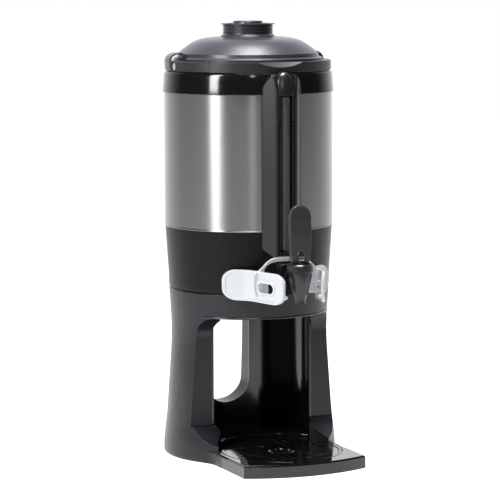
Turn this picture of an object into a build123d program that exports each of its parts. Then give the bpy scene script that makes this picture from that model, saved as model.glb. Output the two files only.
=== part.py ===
from build123d import *
import os
from math import cos, degrees, atan2, hypot, radians, sin, sqrt

# Gravity-flow thermal beverage dispenser on a pedestal stand.
# Millimetres, +Z up. The origin is where the axis of the round body meets the surface it stands on,
# and the faucet faces -Y.

# ---- stand ----
STAND_TOP = 226.5
STAND_WALL = 3.0
# outer radius of the stand at rising heights, narrowest at the waist
STAND_SKIN = [(117.0, 6.0), (116.0, 23.5), (113.3, 47.0), (110.5, 82.0), (107.3, 128.0),
              (105.5, 165.0), (106.3, 192.0), (108.4, 225.0)]
SOCKET_RADIUS = 103.5
DECK_LOW = 193.0
DECK_HIGH = 197.0
CAVITY_RADIUS = 82.6
LINER_WALL = 2.5
LEG_FACE_Y = -43.5
BASE_PLATE_TOP = 3.0
FLOOR_HIGH = 24.0
WINDOW_HALF_WIDTH = 32.5
WINDOW_LOW = 51.0
WINDOW_HIGH = 178.0

# ---- drip tray ----
TRAY_HALF_WIDTH = 87.0
TRAY_TOP = 17.0
TRAY_FRONT_RADIUS = 204.0
TRAY_SEAM_Y = -108.5
NEST_Y = -108.8
NEST_RADIUS = 84.0
TRAY_CLEARANCE = 0.6
GRILLE_RADIUS = 80.5

# ---- server body ----
REST_TOP = 200.0
HOUSING_LOW = 227.6
HOUSING_HIGH = 309.3
# outer radius of the lower housing at rising heights
HOUSING_SKIN = [(108.6, 229.0), (109.0, 247.0), (109.9, 262.0), (111.5, 287.0), (112.8, 307.5)]
HOUSING_WALL = 3.0
SPIGOT_RADIUS = 102.5
JACKET_RADIUS = 113.3
JACKET_LOW = 309.8
JACKET_HIGH = 490.1
COLLAR_HIGH = 517.5
COLLAR_LOW_RADIUS = 115.6
COLLAR_HIGH_RADIUS = 113.5
FLASK_WALL = 1.0
MOUTH_RADIUS = 77.0
MOUTH_HIGH = 514.0

# ---- gauge column ----
COLUMN_FRONT = -128.0
COLUMN_HALF_WIDTH = 28.4
COLUMN_FACE_HALF = 15.3
COLUMN_TOP = 520.0
COLUMN_LOW = 272.6
COLUMN_NECK_HALF = 17.5
CHANNEL_HALF = 11.3
CHANNEL_BACK = -116.6
CHANNEL_LOW = 285.0
CAP_LOW = 489.0
TUBE_Y = -121.8
TUBE_RADIUS = 4.6
TUBE_BORE = 3.5
TUBE_LOW = 264.5
TUBE_HIGH = 487.0

# ---- faucet ----
FAUCET_Y = -168.0
OUTLET_Z = 252.0
BONNET_LOW = 263.0
BONNET_HIGH = 273.3
SPOUT_LOW = 222.0
SEAT_Z = 244.0
LEVER_PIVOT_Z = 279.0
LEVER_TOP = 350.0
LEVER_HALF_WIDTH = 15.0
RUNNING = 0.05

# ---- label clip ----
CLIP_LOW = 221.0
CLIP_HIGH = 261.5
CLIP_THICK = 3.0
YOKE_BACK = -129.0
YOKE_FRONT = -132.0
YOKE_TOP = 278.6
YOKE_INNER_TOP = 272.6

# ---- lid and handle ----
LID_LOW = 518.5
RING_HIGH = 532.0
RING_INNER = 101.0
RING_OUTER = 111.5
GRIP_ANGLE = 50.0
HANDLE_Y = -10.0
HANDLE_Z = 525.0
HANDLE_PIN = 3.0
HINGE_Y = 118.0
HINGE_Z = 521.0
HINGE_PIN = 2.5
NECK_RADIUS = 33.0
NECK_HIGH = 580.7
TOP = 584.0


def block(x0, x1, y0, y1, z0, z1):
    """A box between two opposite corners."""
    centre = Pos((x0 + x1) / 2, (y0 + y1) / 2, (z0 + z1) / 2)
    return centre * Box(x1 - x0, y1 - y0, z1 - z0)


def post(radius, z0, z1, x=0.0, y=0.0):
    """An upright cylinder."""
    return Pos(x, y, (z0 + z1) / 2) * Cylinder(radius, z1 - z0)


def bar_x(radius, x0, x1, y, z):
    """A cylinder that lies along X."""
    return Pos((x0 + x1) / 2, y, z) * Rot(0, 90, 0) * Cylinder(radius, x1 - x0)


def bar_y(radius, y0, y1, x, z):
    """A cylinder that lies along Y."""
    return Pos(x, (y0 + y1) / 2, z) * Rot(90, 0, 0) * Cylinder(radius, y1 - y0)


def turned(*corners, y=0.0):
    """A solid of revolution about an upright axis, from (radius, height) corners."""
    outline = Polyline(*[(r, 0, z) for r, z in corners], close=True)
    return Pos(0, y, 0) * revolve(make_face(outline), Axis.Z)


def turned_skin(curve, rest):
    """A solid of revolution: a smooth (radius, height) curve closed by straight runs."""
    smooth = Spline(*[(r, 0, z) for r, z in curve])
    straight = [curve[-1], *rest, curve[0]]
    runs = [Line((a[0], 0, a[1]), (b[0], 0, b[1])) for a, b in zip(straight, straight[1:])]
    return revolve(Face(Wire([smooth.edge(), *[run.edge() for run in runs]])), Axis.Z)


def front_prism(corners, y0, y1):
    """An outline of (x, z) corners carried along Y."""
    outline = make_face(Polyline(*[(x, y1, z) for x, z in corners], close=True))
    return extrude(outline, y1 - y0, dir=(0, -1, 0))


def side_prism(corners, x0, x1):
    """An outline of (y, z) corners carried along X."""
    outline = make_face(Polyline(*[(x0, y, z) for y, z in corners], close=True))
    return extrude(outline, x1 - x0, dir=(1, 0, 0))


def flat_prism(corners, z0, z1):
    """An outline of (x, y) corners carried upwards."""
    outline = make_face(Polyline(*[(x, y, z0) for x, y in corners], close=True))
    return extrude(outline, z1 - z0, dir=(0, 0, 1))


def arc_points(cx, cy, radius, start, end, steps):
    """Corners along an arc, start and end in degrees from +X."""
    turns = [radians(start + (end - start) * i / steps) for i in range(steps + 1)]
    return [(cx + radius * cos(t), cy + radius * sin(t)) for t in turns]


def joined(*shapes):
    """Solids fused into one."""
    return shapes[0].fuse(*shapes[1:]).clean()


def group(shapes):
    """Separate solids that share one node."""
    return Compound(children=[solid for shape in shapes for solid in shape.solids()])


def around(shape, count, start=0.0):
    """Copies of a shape turned about Z in equal steps."""
    return [Rot(0, 0, start + 360 * i / count) * shape for i in range(count)]


def screw(head_radius, head_height, shank_radius, length):
    """A cross-recess screw whose head sits on z = 0 and whose shank points down."""
    head = Pos(0, 0, head_height / 2) * Cylinder(head_radius, head_height)
    shank = Pos(0, 0, -length / 2) * Cylinder(shank_radius, length)
    slot = Box(head_radius * 1.3, head_radius * 0.3, head_height)
    recess = Pos(0, 0, head_height) * (slot + Rot(0, 0, 90) * slot)
    return joined(head, shank) - recess


def ring_sector(corners, start, end):
    """A revolved (radius, height) outline between two angles, measured from the front, to +X."""
    outline = make_face(Polyline(*[(r, 0, z) for r, z in corners], close=True))
    return Rot(0, 0, start - 90) * revolve(outline, Axis.Z, end - start)


def body_envelope(gap):
    """The outside of the server body grown by a gap, which parts mounted on it are cut by."""
    return turned((0, 200), (SPIGOT_RADIUS, 200), (108.7 + gap, 227), (109.1 + gap, 247),
                  (110.1 + gap, 262), (111.7 + gap, 287), (JACKET_RADIUS + 0.8 + gap, 309),
                  (JACKET_RADIUS + 0.8 + gap, 312.2), (JACKET_RADIUS + gap, 312.4),
                  (JACKET_RADIUS + gap, 490), (COLLAR_LOW_RADIUS + gap, 490.1),
                  (COLLAR_HIGH_RADIUS + gap, 518.2), (COLLAR_HIGH_RADIUS + gap, 560), (0, 560))


def tray_nest(radius, z0, z1):
    """The round-backed space that the tray slides out of, open to the front."""
    round_end = post(radius, z0, z1, y=NEST_Y)
    straight = block(-radius, radius, -240, NEST_Y, z0, z1)
    return joined(round_end, straight)


def window_prism(grow):
    """The rear window's straight-sided, round-bottomed opening, along Y."""
    half = WINDOW_HALF_WIDTH + grow
    centre_z = WINDOW_LOW + WINDOW_HALF_WIDTH
    top = WINDOW_HIGH + grow
    soft = 10.0
    corners = arc_points(0, centre_z, half, 180, 360, 24)
    corners += arc_points(half - soft, top - soft, soft, 0, 90, 6)
    corners += arc_points(-half + soft, top - soft, soft, 90, 180, 6)
    return front_prism(corners, 10, 130)


# ---------------------------------------------------------------- stand
def stand_shell():
    """Moulded pedestal: outer skin, two hollow legs, server socket, sloped toes and tray wings."""
    shell = turned_skin(STAND_SKIN, [(107.2, STAND_TOP), (0, STAND_TOP), (0, 0), (115.2, 0),
                                     (116.6, 1.6)])
    # wings that flank the tray, joined to the round foot by a concave sweep
    sweep_radius = 45.0
    toe_radius = 116.5
    sweep_y = -sqrt((toe_radius + sweep_radius) ** 2 - (TRAY_HALF_WIDTH + sweep_radius) ** 2)
    centre = (TRAY_HALF_WIDTH + sweep_radius, sweep_y)
    meet = degrees(atan2(-centre[1], -centre[0]))
    side = [(TRAY_HALF_WIDTH, TRAY_SEAM_Y)] + arc_points(*centre, sweep_radius, 180, meet, 12)
    outline = side + [(60, -30), (-60, -30)] + [(-x, y) for x, y in reversed(side)]
    wings = flat_prism(outline, 0, TRAY_TOP)
    top_edges = wings.edges().filter_by_position(Axis.Z, TRAY_TOP, TRAY_TOP)
    wings = chamfer([e for e in top_edges if e.center().Y < -60 and abs(e.center().X) > 80], 1.6)
    shell = joined(shell, wings)
    # the wide front opening: flat leg faces, rounded up into the ring, sloped toes below
    corner = 28.0
    toe = [(-50, 44.5), (-56, 36.5), (-66, 30.0), (-80, 23.5), (-96, 18.6), (-110, TRAY_TOP)]
    opening = [(LEG_FACE_Y, 46.5)] + toe + [(-240, TRAY_TOP), (-240, DECK_LOW)]
    opening += arc_points(LEG_FACE_Y - corner, DECK_LOW - corner, corner, 90, 0, 12)
    shell -= side_prism(opening, -150, 150)
    shell -= post(CAVITY_RADIUS + LINER_WALL, 0, DECK_LOW)
    shell -= post(SOCKET_RADIUS, DECK_HIGH, 240)
    shell -= post(40, 190, 200)
    shell -= tray_nest(NEST_RADIUS + TRAY_CLEARANCE, -1, DECK_LOW)
    # hollow inside the legs, with walls left round the window and behind the leg faces
    inner = [(r - STAND_WALL, z) for r, z in STAND_SKIN if 20 < z < 192]
    low = (inner[0][0], BASE_PLATE_TOP)
    hollow_low = CAVITY_RADIUS + LINER_WALL + STAND_WALL
    hollow = turned_skin(inner, [(inner[-1][0], 189), (hollow_low, 189),
                                 (hollow_low, BASE_PLATE_TOP), low])
    hollow -= block(-130, 130, -130, LEG_FACE_Y + STAND_WALL, 0, 200)
    hollow -= window_prism(STAND_WALL)
    shell -= hollow
    shell -= window_prism(0)
    shell -= post(110, -1, BASE_PLATE_TOP)
    return shell.solids().sort_by(SortBy.VOLUME)[-1]


def stand_liner():
    """Glossy lining of the cup bay, with the rear window cut through it."""
    liner = turned((CAVITY_RADIUS, BASE_PLATE_TOP), (CAVITY_RADIUS + LINER_WALL, BASE_PLATE_TOP),
                   (CAVITY_RADIUS + LINER_WALL, DECK_LOW), (CAVITY_RADIUS, DECK_LOW))
    liner -= block(-130, 130, -130, LEG_FACE_Y, BASE_PLATE_TOP, DECK_LOW + 1)
    liner -= window_prism(0)
    return liner


def cavity_floor():
    """Raised floor behind the tray, hollow underneath, with a drain slot near the axis."""
    radius = CAVITY_RADIUS - 0.1
    wall = 3.0
    floor = post(radius, BASE_PLATE_TOP, FLOOR_HIGH) - tray_nest(NEST_RADIUS + TRAY_CLEARANCE, 0, 40)
    under = post(radius - wall, BASE_PLATE_TOP, FLOOR_HIGH - wall)
    under -= tray_nest(NEST_RADIUS + TRAY_CLEARANCE + wall, 0, 40)
    floor -= under
    floor -= block(-2, 10, -6, -2, 0, 40)
    body = floor.solids().sort_by(SortBy.VOLUME)[-1]
    lip = body.edges().filter_by_position(Axis.Z, FLOOR_HIGH, FLOOR_HIGH)
    return chamfer([e for e in lip if e.length > 60 and e.center().Y < 0], 1.0)


PAD_PLACES = [(80, 44), (-80, 44), (70, -62), (-70, -62)]
PAD_RADIUS = 12.0
PAD_THICK = 1.8
BASE_SCREW_RADIUS = 98.0
BASE_SCREW_ANGLES = [0, 60, 90, 120, 180]


def base_screw_place(angle):
    """Where a base screw enters, on the circle of the leg bosses."""
    return BASE_SCREW_RADIUS * cos(radians(angle)), BASE_SCREW_RADIUS * sin(radians(angle))


def base_plate():
    """Bottom plate that closes the stand and carries the tray's round back."""
    plate = post(109.8, 0, BASE_PLATE_TOP) - block(-130, 130, -130, TRAY_SEAM_Y, -1, 10)
    for x, y in PAD_PLACES:
        plate -= post(PAD_RADIUS, -1, PAD_THICK, x, y)
    for angle in BASE_SCREW_ANGLES:
        x, y = base_screw_place(angle)
        plate -= post(1.8, -1, 10, x, y)
        plate -= post(3.6, -1, 1.6, x, y)
    return plate


def foot_pads():
    """Four non-slip rubber pads let into the base plate."""
    return group([post(PAD_RADIUS, 0, PAD_THICK, x, y) for x, y in PAD_PLACES])


def base_bosses():
    """Screw bosses standing in the hollow legs on the base plate."""
    bosses = []
    for angle in BASE_SCREW_ANGLES:
        x, y = base_screw_place(angle)
        bosses.append(post(4.5, BASE_PLATE_TOP, 40, x, y) - post(1.8, 0, 20, x, y))
    return group(bosses)


def base_screws():
    """Screws that hold the base plate from below."""
    one = Rot(180, 0, 0) * screw(3.4, 1.4, 1.75, 13)
    return group([Pos(*base_screw_place(angle), 1.6) * one for angle in BASE_SCREW_ANGLES])


def rest_ring():
    """Rubber ring in the socket that the server stands on."""
    return turned((86, DECK_HIGH), (101, DECK_HIGH), (101, REST_TOP - 0.6), (100.4, REST_TOP),
                  (86.6, REST_TOP), (86, REST_TOP - 0.6))


# ---------------------------------------------------------------- drip tray
def drip_tray():
    """Pull-out tray: round back that nests in the foot, straight sides, front edge on an arc."""
    back = post(NEST_RADIUS, BASE_PLATE_TOP + 0.3, TRAY_TOP - 0.3, y=NEST_Y)
    front = block(-TRAY_HALF_WIDTH, TRAY_HALF_WIDTH, -240, TRAY_SEAM_Y - 0.4, 0.3, TRAY_TOP)
    front &= post(TRAY_FRONT_RADIUS, 0, 30)
    rim = front.edges().filter_by_position(Axis.Z, TRAY_TOP, TRAY_TOP)
    front = chamfer([e for e in rim if e.center().Y < -120], 2.0)
    tray = joined(front, back)
    tray -= post(GRILLE_RADIUS + 0.5, 12, 30, y=NEST_Y)
    return tray - post(GRILLE_RADIUS - 4, 5.5, 30, y=NEST_Y)


GRILLE_RINGS = [(24.0, 13.0, 14), (41.0, 15.0, 22), (60.0, 17.0, 34)]
GRILLE_SLANT = 24.0


def drip_grille():
    """Round drip grille: three rings of slanted slots round a hub, on a rim with a stepped edge."""
    high = TRAY_TOP + 0.2
    grille = turned((0, high - 2.6), (GRILLE_RADIUS - 4, high - 2.6), (GRILLE_RADIUS - 4, 12),
                    (GRILLE_RADIUS, 12), (GRILLE_RADIUS, high - 1), (GRILLE_RADIUS - 1, high),
                    (GRILLE_RADIUS - 4, high), (GRILLE_RADIUS - 5, high - 0.8), (18, high - 0.8),
                    (16, high + 0.6), (11, high + 0.6), (9, high - 1.2), (0, high - 1.2))
    slots = []
    for middle, length, count in GRILLE_RINGS:
        width = 3.2 if middle < 50 else 3.8
        slot = Pos(middle, 0, 0) * Rot(0, 0, GRILLE_SLANT) * SlotOverall(length, width)
        slots += around(extrude(slot, 12), count)
    for cut in slots:
        grille -= Pos(0, 0, high - 6) * cut
    return Pos(0, NEST_Y, 0) * grille


# ---------------------------------------------------------------- server body
def lower_housing():
    """Moulded lower housing: tapered skirt, shoulder, spigot for the stand and jacket lip."""
    inner = [(r - HOUSING_WALL, z) for r, z in HOUSING_SKIN]
    top = HOUSING_HIGH
    spigot_in = SPIGOT_RADIUS - 3.0
    outer_corners = [(112.9, top), (112.4, top), (112.4, top + 7), (109.9, top + 7)]
    inner_corners = [(109.9, inner[-1][1]), (inner[0][0], 231), (spigot_in, 231)]
    low_corners = [(spigot_in, 203), (SPIGOT_RADIUS, 203), (SPIGOT_RADIUS, HOUSING_LOW),
                   (107.6, HOUSING_LOW)]
    housing = turned_skin(HOUSING_SKIN, outer_corners + inner_corners + low_corners)
    housing -= bar_y(11.1, -125, -90, 0, OUTLET_Z)
    bosses = around(post(4.5, 203, 222, x=SPIGOT_RADIUS - 6), 4, 45)
    housing = joined(housing, *bosses)
    for hole in around(post(1.75, 200, 216, x=SPIGOT_RADIUS - 6), 4, 45):
        housing -= hole
    for x in COLUMN_SCREW_X:
        housing -= bar_y(1.75, -120, -100, x, LOW_SCREW_Z)
    return housing


def bottom_cover():
    """Round cover under the server, which sits on the stand's rubber ring."""
    cover = post(SPIGOT_RADIUS, REST_TOP, 203)
    for x, y in [(0, 0), (40, 0), (-40, 0), (0, 40), (0, -40)]:
        cover -= post(3, REST_TOP - 1, 204, x, y)
    for hole in around(post(1.8, 199, 204, x=SPIGOT_RADIUS - 6), 4, 45):
        cover -= hole
    for sink in around(post(3.6, 199, 201.6, x=SPIGOT_RADIUS - 6), 4, 45):
        cover -= sink
    return cover


def cover_screws():
    """Four screws that hold the bottom cover."""
    one = Rot(180, 0, 0) * screw(3.4, 1.4, 1.75, 13)
    return group(around(Pos(SPIGOT_RADIUS - 6, 0, 201.6) * one, 4, 45))


def flask_cradle():
    """Ring that carries the flask above the outlet pipe."""
    cradle = turned((88, 203), (91, 203), (91, 262), (88, 262))
    cradle -= block(-20, 20, -120, 0, 230, 270)
    for cut in around(block(60, 120, -14, 14, 212, 250), 3, 90):
        cradle -= cut
    return cradle


def flask_cushion():
    """Rubber ring between the cradle and the flask."""
    return turned((86, 262), (94, 262), (94, 266), (86, 266)) - block(-20, 20, -120, 0, 255, 270)


def flask_outer():
    """Outer steel wall of the vacuum flask."""
    w = FLASK_WALL
    return turned((12, 266), (98, 266), (106, 274), (106, 486), (82, 507), (82, MOUTH_HIGH),
                  (82 - w, MOUTH_HIGH), (82 - w, 506.6), (106 - w, 485.6), (106 - w, 274.4),
                  (98 - 0.4, 266 + w), (12, 266 + w))


def flask_inner():
    """Inner steel wall of the vacuum flask, with its drain boss and rolled mouth."""
    w = FLASK_WALL
    rim = 81.0
    return turned((7, 279), (12, 282), (90, 285), (98, 293), (98, 484), (MOUTH_RADIUS + w, 502),
                  (MOUTH_RADIUS + w, MOUTH_HIGH - w), (rim, MOUTH_HIGH - w), (rim, MOUTH_HIGH),
                  (MOUTH_RADIUS, MOUTH_HIGH), (MOUTH_RADIUS, 501.6), (98 - w, 483.6),
                  (98 - w, 293.4), (89.6, 286), (12, 283), (8.2, 281), (7, 281))


def jacket_rings():
    """Two rubber spacer rings between the flask and the steel jacket."""
    ring = turned((106, 0), (112.4, 0), (112.4, 6), (106, 6))
    return group([Pos(0, 0, 335) * ring, Pos(0, 0, 455) * ring])


def steel_jacket():
    """Brushed steel jacket with a rolled lower lip."""
    inner = JACKET_RADIUS - 0.8
    return turned((inner, JACKET_LOW), (JACKET_RADIUS + 0.4, JACKET_LOW),
                  (JACKET_RADIUS + 0.7, JACKET_LOW + 0.8), (JACKET_RADIUS + 0.4, JACKET_LOW + 1.6),
                  (JACKET_RADIUS, JACKET_LOW + 2.2), (JACKET_RADIUS, JACKET_HIGH),
                  (inner, JACKET_HIGH))


def upper_collar():
    """Glossy collar: outer band, top deck, handle lugs at the sides and hinge knuckles behind."""
    collar = turned((COLLAR_LOW_RADIUS, JACKET_HIGH), (COLLAR_LOW_RADIUS - 0.2, 494),
                    (113.8, 514.5), (COLLAR_HIGH_RADIUS - 0.4, 516.6), (112.4, COLLAR_HIGH),
                    (84, COLLAR_HIGH), (84, 514), (110.2, 514), (109.4, 497), (109.4, 484),
                    (112.4, 484), (112.4, JACKET_HIGH))
    lug_side = arc_points(HANDLE_Y, HANDLE_Z, 6.0, 0, 180, 12)
    lug = side_prism(lug_side + [(HANDLE_Y - 6, 515), (HANDLE_Y + 6, 515)], 94.6, 100.2)
    lug -= bar_x(HANDLE_PIN, 90, 120, HANDLE_Y, HANDLE_Z)
    knuckle = bar_x(4.5, 14, 26, HINGE_Y, HINGE_Z)
    knuckle += side_prism([(110, 505), (HINGE_Y + 4.2, 519.4), (HINGE_Y, HINGE_Z), (110, 515)], 14, 26)
    knuckle -= post(112, 480, 530)
    knuckle -= bar_x(HINGE_PIN, 0, 40, HINGE_Y, HINGE_Z)
    collar = joined(collar, lug, mirror(lug, Plane.YZ), knuckle, mirror(knuckle, Plane.YZ))
    for x in COLUMN_SCREW_X:
        collar -= bar_y(1.75, -125, -100, x, HIGH_SCREW_Z)
    return collar


def neck_seal():
    """Silicone ring between the flask's neck and the collar."""
    return turned((82, 508), (84, 508), (84, 514), (84, 517), (82, 517))


def outlet_pipe():
    """Steel pipe from the flask's drain, bent forward to the faucet shank."""
    bend = 12.0
    end_y = -97.0
    path = Wire([Edge.make_line((0, 0, 281), (0, 0, OUTLET_Z + bend)),
                 Edge.make_three_point_arc((0, 0, OUTLET_Z + bend),
                                           (0, -bend * (1 - sqrt(0.5)), OUTLET_Z + bend * (1 - sqrt(0.5))),
                                           (0, -bend, OUTLET_Z)),
                 Edge.make_line((0, -bend, OUTLET_Z), (0, end_y, OUTLET_Z))])
    start = Plane(origin=(0, 0, 281), z_dir=(0, 0, -1))
    outside = sweep(start * Circle(7), path)
    inside = sweep(start * Circle(5.5), path)
    return outside - inside


def outlet_gasket():
    """Rubber bush where the outlet pipe leaves the flask's outer wall."""
    return turned((7, 264), (14, 264), (14, 266), (12, 266), (12, 267), (14, 267), (14, 269), (7, 269))


# ---------------------------------------------------------------- gauge column
COLUMN_SCREW_X = (-14.8, 14.8)
LOW_SCREW_Z = 296.0
HIGH_SCREW_Z = 503.0


def column_blank():
    """The column's outside: tapered plan, arched top, front rolled back at the top, neck below."""
    soft = 3.0
    plan = [(COLUMN_HALF_WIDTH, -100), (COLUMN_HALF_WIDTH, -110), (COLUMN_HALF_WIDTH - 0.8, -112.2),
            (COLUMN_FACE_HALF + 1.2, COLUMN_FRONT + soft), (COLUMN_FACE_HALF, COLUMN_FRONT + 1.0),
            (COLUMN_FACE_HALF - 2.0, COLUMN_FRONT)]
    blank = flat_prism(plan + [(-x, y) for x, y in reversed(plan)], COLUMN_LOW, COLUMN_TOP + 5)
    arch = arc_points(0, COLUMN_TOP - COLUMN_HALF_WIDTH, COLUMN_HALF_WIDTH, 0, 180, 40)
    shoulder = [(-COLUMN_HALF_WIDTH, 290), (-COLUMN_HALF_WIDTH + 2, 286), (-COLUMN_NECK_HALF - 1, 279),
                (-COLUMN_NECK_HALF, 276), (-COLUMN_NECK_HALF, COLUMN_LOW - 1)]
    blank &= front_prism(arch + shoulder + [(-x, z) for x, z in reversed(shoulder)], -140, -90)
    # the front leans back over the top in a quarter ellipse
    lean = []
    for i in range(13):
        turn = radians(90 * i / 12)
        lean.append((COLUMN_FRONT + 13.0 * (1 - cos(turn)), 486 + (COLUMN_TOP - 486) * sin(turn)))
    blank &= side_prism([(COLUMN_FRONT, COLUMN_LOW - 1)] + lean + [(-90, COLUMN_TOP), (-90, COLUMN_LOW - 1)],
                        -60, 60)
    return blank - body_envelope(0.3)


def cap_space(grow):
    """The part of the column's head that belongs to the gauge cap."""
    half = 12.6 + grow
    low = CAP_LOW - grow
    return block(-half, half, -150, -116.4 + grow, low, COLUMN_TOP + 10)


def column_housing():
    """Guard of the level gauge: a channel with the sight tube in it, screwed to the body."""
    housing = column_blank() - cap_space(0.2)
    housing -= block(-CHANNEL_HALF, CHANNEL_HALF, -150, CHANNEL_BACK, CHANNEL_LOW, CAP_LOW)
    housing -= post(TUBE_RADIUS, COLUMN_LOW - 1, CHANNEL_LOW + 1, y=TUBE_Y)
    for x in COLUMN_SCREW_X:
        housing -= bar_y(1.75, -121.4, -100, x, LOW_SCREW_Z)
        housing -= bar_y(1.75, -121.4, -100, x, HIGH_SCREW_Z)
    return housing.solids().sort_by(SortBy.VOLUME)[-1]


def column_screws():
    """Screws that hold the column from inside the housing and the collar."""
    one = Rot(-90, 0, 0) * screw(3.4, 1.8, 1.75, 13.4)
    low_y = -107.4
    high_y = -107.8
    places = [(x, low_y, LOW_SCREW_Z) for x in COLUMN_SCREW_X]
    places += [(x, high_y, HIGH_SCREW_Z) for x in COLUMN_SCREW_X]
    return group([Pos(x, y, z) * one for x, y, z in places])


def sight_tube():
    """Clear tube that shows the level."""
    return post(TUBE_RADIUS, TUBE_LOW, TUBE_HIGH, y=TUBE_Y) - post(TUBE_BORE, 200, 600, y=TUBE_Y)


def tube_seals():
    """Rubber seals at the foot and the head of the sight tube."""
    low = post(6.0, 265, 270, y=TUBE_Y) - post(TUBE_RADIUS, 260, 275, y=TUBE_Y)
    high = post(5.15, 480, 487, y=TUBE_Y) - post(TUBE_RADIUS, 470, 490, y=TUBE_Y)
    return group([low, high])


def gauge_float():
    """Float that rides on the liquid inside the sight tube."""
    return turned((0, 290), (2.6, 290), (3.42, 291.4), (3.42, 300.6), (2.6, 302), (0, 302), y=TUBE_Y)


def gauge_cap():
    """Lift-out cap of the gauge, with two prongs in the channel and a plug in the tube."""
    cap = column_blank() & cap_space(0)
    for side in (-1, 1):
        x = side * 9.7
        prong = block(x - 1.4, x + 1.4, COLUMN_FRONT + 0.8, -118, 456, CAP_LOW + 4)
        cap = joined(cap, prong)
    plug = post(3.3, 480, CAP_LOW + 2, y=TUBE_Y) - post(1.2, 478, CAP_LOW + 1, y=TUBE_Y)
    collar = post(4.6, TUBE_HIGH + 0.3, CAP_LOW + 2, y=TUBE_Y) - post(1.2, 478, CAP_LOW + 1, y=TUBE_Y)
    return joined(cap, plug, collar)


# ---------------------------------------------------------------- faucet
MANIFOLD_FRONT = -144.5
SHANK_FRONT = -116.0
SHANK_RADIUS = 11.0


def faucet_manifold():
    """Block between the body, the sight tube and the faucet, drilled both ways."""
    high = COLUMN_LOW - 0.2
    half = 17.0
    soft = 7.0
    corners = arc_points(half - soft, high - 2 - soft, soft, 0, 90, 6)
    corners += arc_points(-half + soft, high - 2 - soft, soft, 90, 180, 6)
    corners += arc_points(-half + soft, 232 + soft, soft, 180, 270, 6)
    corners += arc_points(half - soft, 232 + soft, soft, 270, 360, 6)
    front = front_prism(corners, MANIFOLD_FRONT, -100)
    saddle = block(-COLUMN_NECK_HALF + 0.5, COLUMN_NECK_HALF - 0.5, COLUMN_FRONT - 4.4, -100, 258, high)
    manifold = joined(front, saddle) - body_envelope(0.3)
    manifold -= bar_y(5.5, MANIFOLD_FRONT - 1, -100, 0, OUTLET_Z)
    manifold -= bar_y(9.0, MANIFOLD_FRONT - 1, MANIFOLD_FRONT + 6, 0, OUTLET_Z)
    manifold -= bar_y(SHANK_RADIUS, SHANK_FRONT, -90, 0, OUTLET_Z)
    manifold -= post(6.0, TUBE_LOW, 280, y=TUBE_Y)
    manifold -= post(2.4, OUTLET_Z, TUBE_LOW + 1, y=TUBE_Y)
    return manifold


def faucet_shank():
    """Threaded shank through the housing wall, with the pipe's socket inside."""
    shank = bar_y(SHANK_RADIUS, SHANK_FRONT, -90, 0, OUTLET_Z)
    shank -= bar_y(5.5, SHANK_FRONT - 1, -80, 0, OUTLET_Z)
    shank -= bar_y(7.0, -97, -80, 0, OUTLET_Z)
    return shank


def shank_washer():
    """Rubber washer under the shank nut."""
    return bar_y(16, -104.4, -102.2, 0, OUTLET_Z) - bar_y(SHANK_RADIUS, -110, -90, 0, OUTLET_Z)


def shank_nut():
    """Hexagon nut that clamps the shank."""
    hexagon = Pos(0, -95.4, OUTLET_Z) * Rot(90, 0, 0) * extrude(RegularPolygon(16, 6), 6.8)
    return hexagon - bar_y(SHANK_RADIUS, -110, -90, 0, OUTLET_Z)


def coupling_nut():
    """Fluted ring that joins the faucet to the block."""
    nut = bar_y(13, -150.3, MANIFOLD_FRONT, 0, OUTLET_Z) - bar_y(9, -155, -140, 0, OUTLET_Z)
    for i in range(18):
        turn = radians(20 * i)
        nut -= bar_y(0.9, -155, -140, 13.3 * cos(turn), OUTLET_Z + 13.3 * sin(turn))
    return nut


def faucet_body():
    """Faucet body with its inlet behind, valve seat and tapered spout."""
    body = turned((0, BONNET_LOW), (15.6, BONNET_LOW), (15.6, 258), (14.6, 250), (11.2, 238),
                  (8.4, 229), (7.6, 226), (7.6, SPOUT_LOW), (0, SPOUT_LOW), y=FAUCET_Y)
    inlet = bar_y(9, FAUCET_Y + 4, MANIFOLD_FRONT + 6, 0, OUTLET_Z)
    body = joined(body, inlet)
    body -= turned((0, 200), (5.6, 200), (5.6, SEAT_Z - 2), (6.6, SEAT_Z), (11, SEAT_Z),
                   (11, 270), (0, 270), y=FAUCET_Y)
    return body - bar_y(5.5, FAUCET_Y + 2, -130, 0, OUTLET_Z)


def faucet_bonnet():
    """Fluted cap of the faucet that guides the stem."""
    bonnet = turned((0, BONNET_LOW), (16.4, BONNET_LOW), (17.2, BONNET_LOW + 0.8),
                    (17.2, BONNET_HIGH - 1.4), (15.6, BONNET_HIGH), (0, BONNET_HIGH), y=FAUCET_Y)
    for i in range(30):
        turn = radians(12 * i)
        bonnet -= post(0.6, 260, BONNET_HIGH - 2, 17.4 * cos(turn), FAUCET_Y + 17.4 * sin(turn))
    bonnet -= post(8, 260, 268, y=FAUCET_Y)
    return bonnet - post(3 + RUNNING, 260, 280, y=FAUCET_Y)


def faucet_stem():
    """Stem with an eye for the lever's pin at the top and a barb for the seat below."""
    stem = turned((0, 246.5), (4, 246.5), (4, 248.5), (3, 249.5), (3, 275), (0, 275), y=FAUCET_Y)
    eye = bar_x(5.2, -4, 4, FAUCET_Y, LEVER_PIVOT_Z)
    eye &= block(-4, 4, FAUCET_Y - 6, FAUCET_Y + 6, BONNET_HIGH + 0.5, 290)
    return joined(stem, eye) - bar_x(2.0, -10, 10, FAUCET_Y, LEVER_PIVOT_Z)


def faucet_seat():
    """Silicone seat cup on the foot of the stem."""
    cup = turned((0, SEAT_Z + 0.1), (6.2, SEAT_Z + 0.1), (7.8, SEAT_Z + 1.2), (7.8, 251), (5, 252),
                 (3, 252), (3, 249.5), (4, 248.5), (4, 246.5), (0, 246.5), y=FAUCET_Y)
    return cup


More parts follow.
